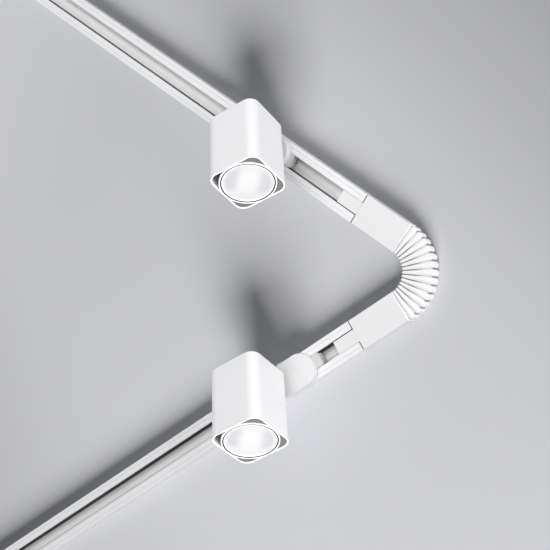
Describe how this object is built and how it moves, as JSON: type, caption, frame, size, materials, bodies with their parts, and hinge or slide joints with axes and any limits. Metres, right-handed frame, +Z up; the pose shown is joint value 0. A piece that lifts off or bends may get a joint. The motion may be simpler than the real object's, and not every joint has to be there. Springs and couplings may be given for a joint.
{
  "type": "track spotlight",
  "caption": "Square white track spotlights on slim adapters in a pair of surface track rails that a flexible pleated corner joins, for ceiling mounting.",
  "frame": {"origin": "midway between the two fixing holes of rail 1, on the ceiling plane at the rail's back", "axes": "+Z up, out of the rails' backs into the ceiling; +X along rail 1, away from the flexible corner; everything hangs to -Z"},
  "size_m": [0.8072, 0.7469, 0.1305],
  "materials": {
    "rail_white": "satin white powder coat",
    "head_white": "fine matt white powder coat",
    "bezel_white": "smooth white",
    "moulded_white": "satin moulded plastic",
    "bellows_white": "soft white elastomer",
    "liner_grey": "extruded insulating plastic",
    "copper": "drawn copper",
    "zinc_steel": "zinc plated",
    "terminal_black": "moulded terminal block",
    "wire_sleeve": "insulated wire",
    "driver_grey": "moulded driver case",
    "cast_aluminium": "as cast",
    "circuit_board": "white solder mask",
    "led_yellow": "phosphor over the chips",
    "reflector_bright": "vacuum metallised",
    "frosted_lens": "frosted"
  },
  "bodies": {
    "root": {"rail_1_profile": "rail_white", "rail_1_insulators": "liner_grey", "rail_1_conductors": "copper", "live_end_housing": "moulded_white", "live_end_terminals": "terminal_black", "connector_1_base": "moulded_white", "connector_1_cover": "moulded_white", "connector_1_contacts": "copper", "flex_bellows": "bellows_white", "flex_wires": "wire_sleeve"},
    "rail_2_line": {"rail_2_profile": "rail_white", "rail_2_insulators": "liner_grey", "rail_2_conductors": "copper", "end_cap": "moulded_white", "connector_2_base": "moulded_white", "connector_2_cover": "moulded_white", "connector_2_contacts": "copper"},
    "spot_1_adapter": {"spot_1_adapter_housing": "moulded_white", "spot_1_adapter_core": "moulded_white", "spot_1_adapter_screws": "zinc_steel", "spot_1_earth_contact": "copper"},
    "spot_1_lock_shaft": {"spot_1_lock_rotor": "moulded_white", "spot_1_lock_contacts": "copper"},
    "spot_1_swivel": {"spot_1_pan_stem": "head_white", "spot_1_pan_nut": "zinc_steel", "spot_1_tilt_arm": "head_white"},
    "spot_1_head": {"spot_1_tilt_pin": "zinc_steel", "spot_1_tube": "head_white", "spot_1_rear_plate": "head_white", "spot_1_rear_screws": "zinc_steel", "spot_1_driver": "driver_grey", "spot_1_heat_sink": "cast_aluminium", "spot_1_led_board": "circuit_board", "spot_1_led_chip": "led_yellow", "spot_1_reflector": "reflector_bright", "spot_1_bezel": "bezel_white", "spot_1_lens_ring": "bezel_white", "spot_1_lens": "frosted_lens"},
    "spot_2_adapter": {"spot_2_adapter_housing": "moulded_white", "spot_2_adapter_core": "moulded_white", "spot_2_adapter_screws": "zinc_steel", "spot_2_earth_contact": "copper"},
    "spot_2_lock_shaft": {"spot_2_lock_rotor": "moulded_white", "spot_2_lock_contacts": "copper"},
    "spot_2_swivel": {"spot_2_pan_stem": "head_white", "spot_2_pan_nut": "zinc_steel", "spot_2_tilt_arm": "head_white"},
    "spot_2_head": {"spot_2_tilt_pin": "zinc_steel", "spot_2_tube": "head_white", "spot_2_rear_plate": "head_white", "spot_2_rear_screws": "zinc_steel", "spot_2_driver": "driver_grey", "spot_2_heat_sink": "cast_aluminium", "spot_2_led_board": "circuit_board", "spot_2_led_chip": "led_yellow", "spot_2_reflector": "reflector_bright", "spot_2_bezel": "bezel_white", "spot_2_lens_ring": "bezel_white", "spot_2_lens": "frosted_lens"}
  },
  "joints": [
    {"name": "flex_bend", "type": "hinge", "parent": "root", "child": "rail_2_line", "pos_m": [-0.40684, -0.02283, -0.0085], "axis": [0, 0, 1], "range_deg": [-30, 6], "deforming": ["flex_bellows", "flex_wires"]},
    {"name": "spot_1_slide", "type": "slide", "parent": "root", "child": "spot_1_adapter", "axis": [1, 0, 0], "range_m": [-0.06, 0.4]},
    {"name": "spot_1_lock", "type": "hinge", "parent": "spot_1_adapter", "child": "spot_1_lock_shaft", "pos_m": [-0.1634, 0, -0.02], "axis": [0, 0, 1], "range_deg": [0, 90]},
    {"name": "spot_1_pan", "type": "hinge", "parent": "spot_1_adapter", "child": "spot_1_swivel", "pos_m": [-0.1884, 0, -0.026], "axis": [0, 0, 1], "range_deg": [-175, 175]},
    {"name": "spot_1_tilt", "type": "hinge", "parent": "spot_1_swivel", "child": "spot_1_head", "pos_m": [-0.1884, 0, -0.043], "axis": [-0.5548, 0.832, 0], "range_deg": [-59.8, 30.2]},
    {"name": "spot_2_slide", "type": "slide", "parent": "rail_2_line", "child": "spot_2_adapter", "axis": [0.4067, -0.9135, 0], "range_m": [-0.01, 0.44]},
    {"name": "spot_2_lock", "type": "hinge", "parent": "spot_2_adapter", "child": "spot_2_lock_shaft", "pos_m": [-0.35512, -0.19513, -0.02], "axis": [0, 0, 1], "range_deg": [0, 90]},
    {"name": "spot_2_pan", "type": "hinge", "parent": "spot_2_adapter", "child": "spot_2_swivel", "pos_m": [-0.34495, -0.21797, -0.026], "axis": [0, 0, 1], "range_deg": [-175, 175]},
    {"name": "spot_2_tilt", "type": "hinge", "parent": "spot_2_swivel", "child": "spot_2_head", "pos_m": [-0.34495, -0.21797, -0.043], "axis": [-0.4955, 0.8686, 0], "range_deg": [-55.4, 34.6]}
  ]
}
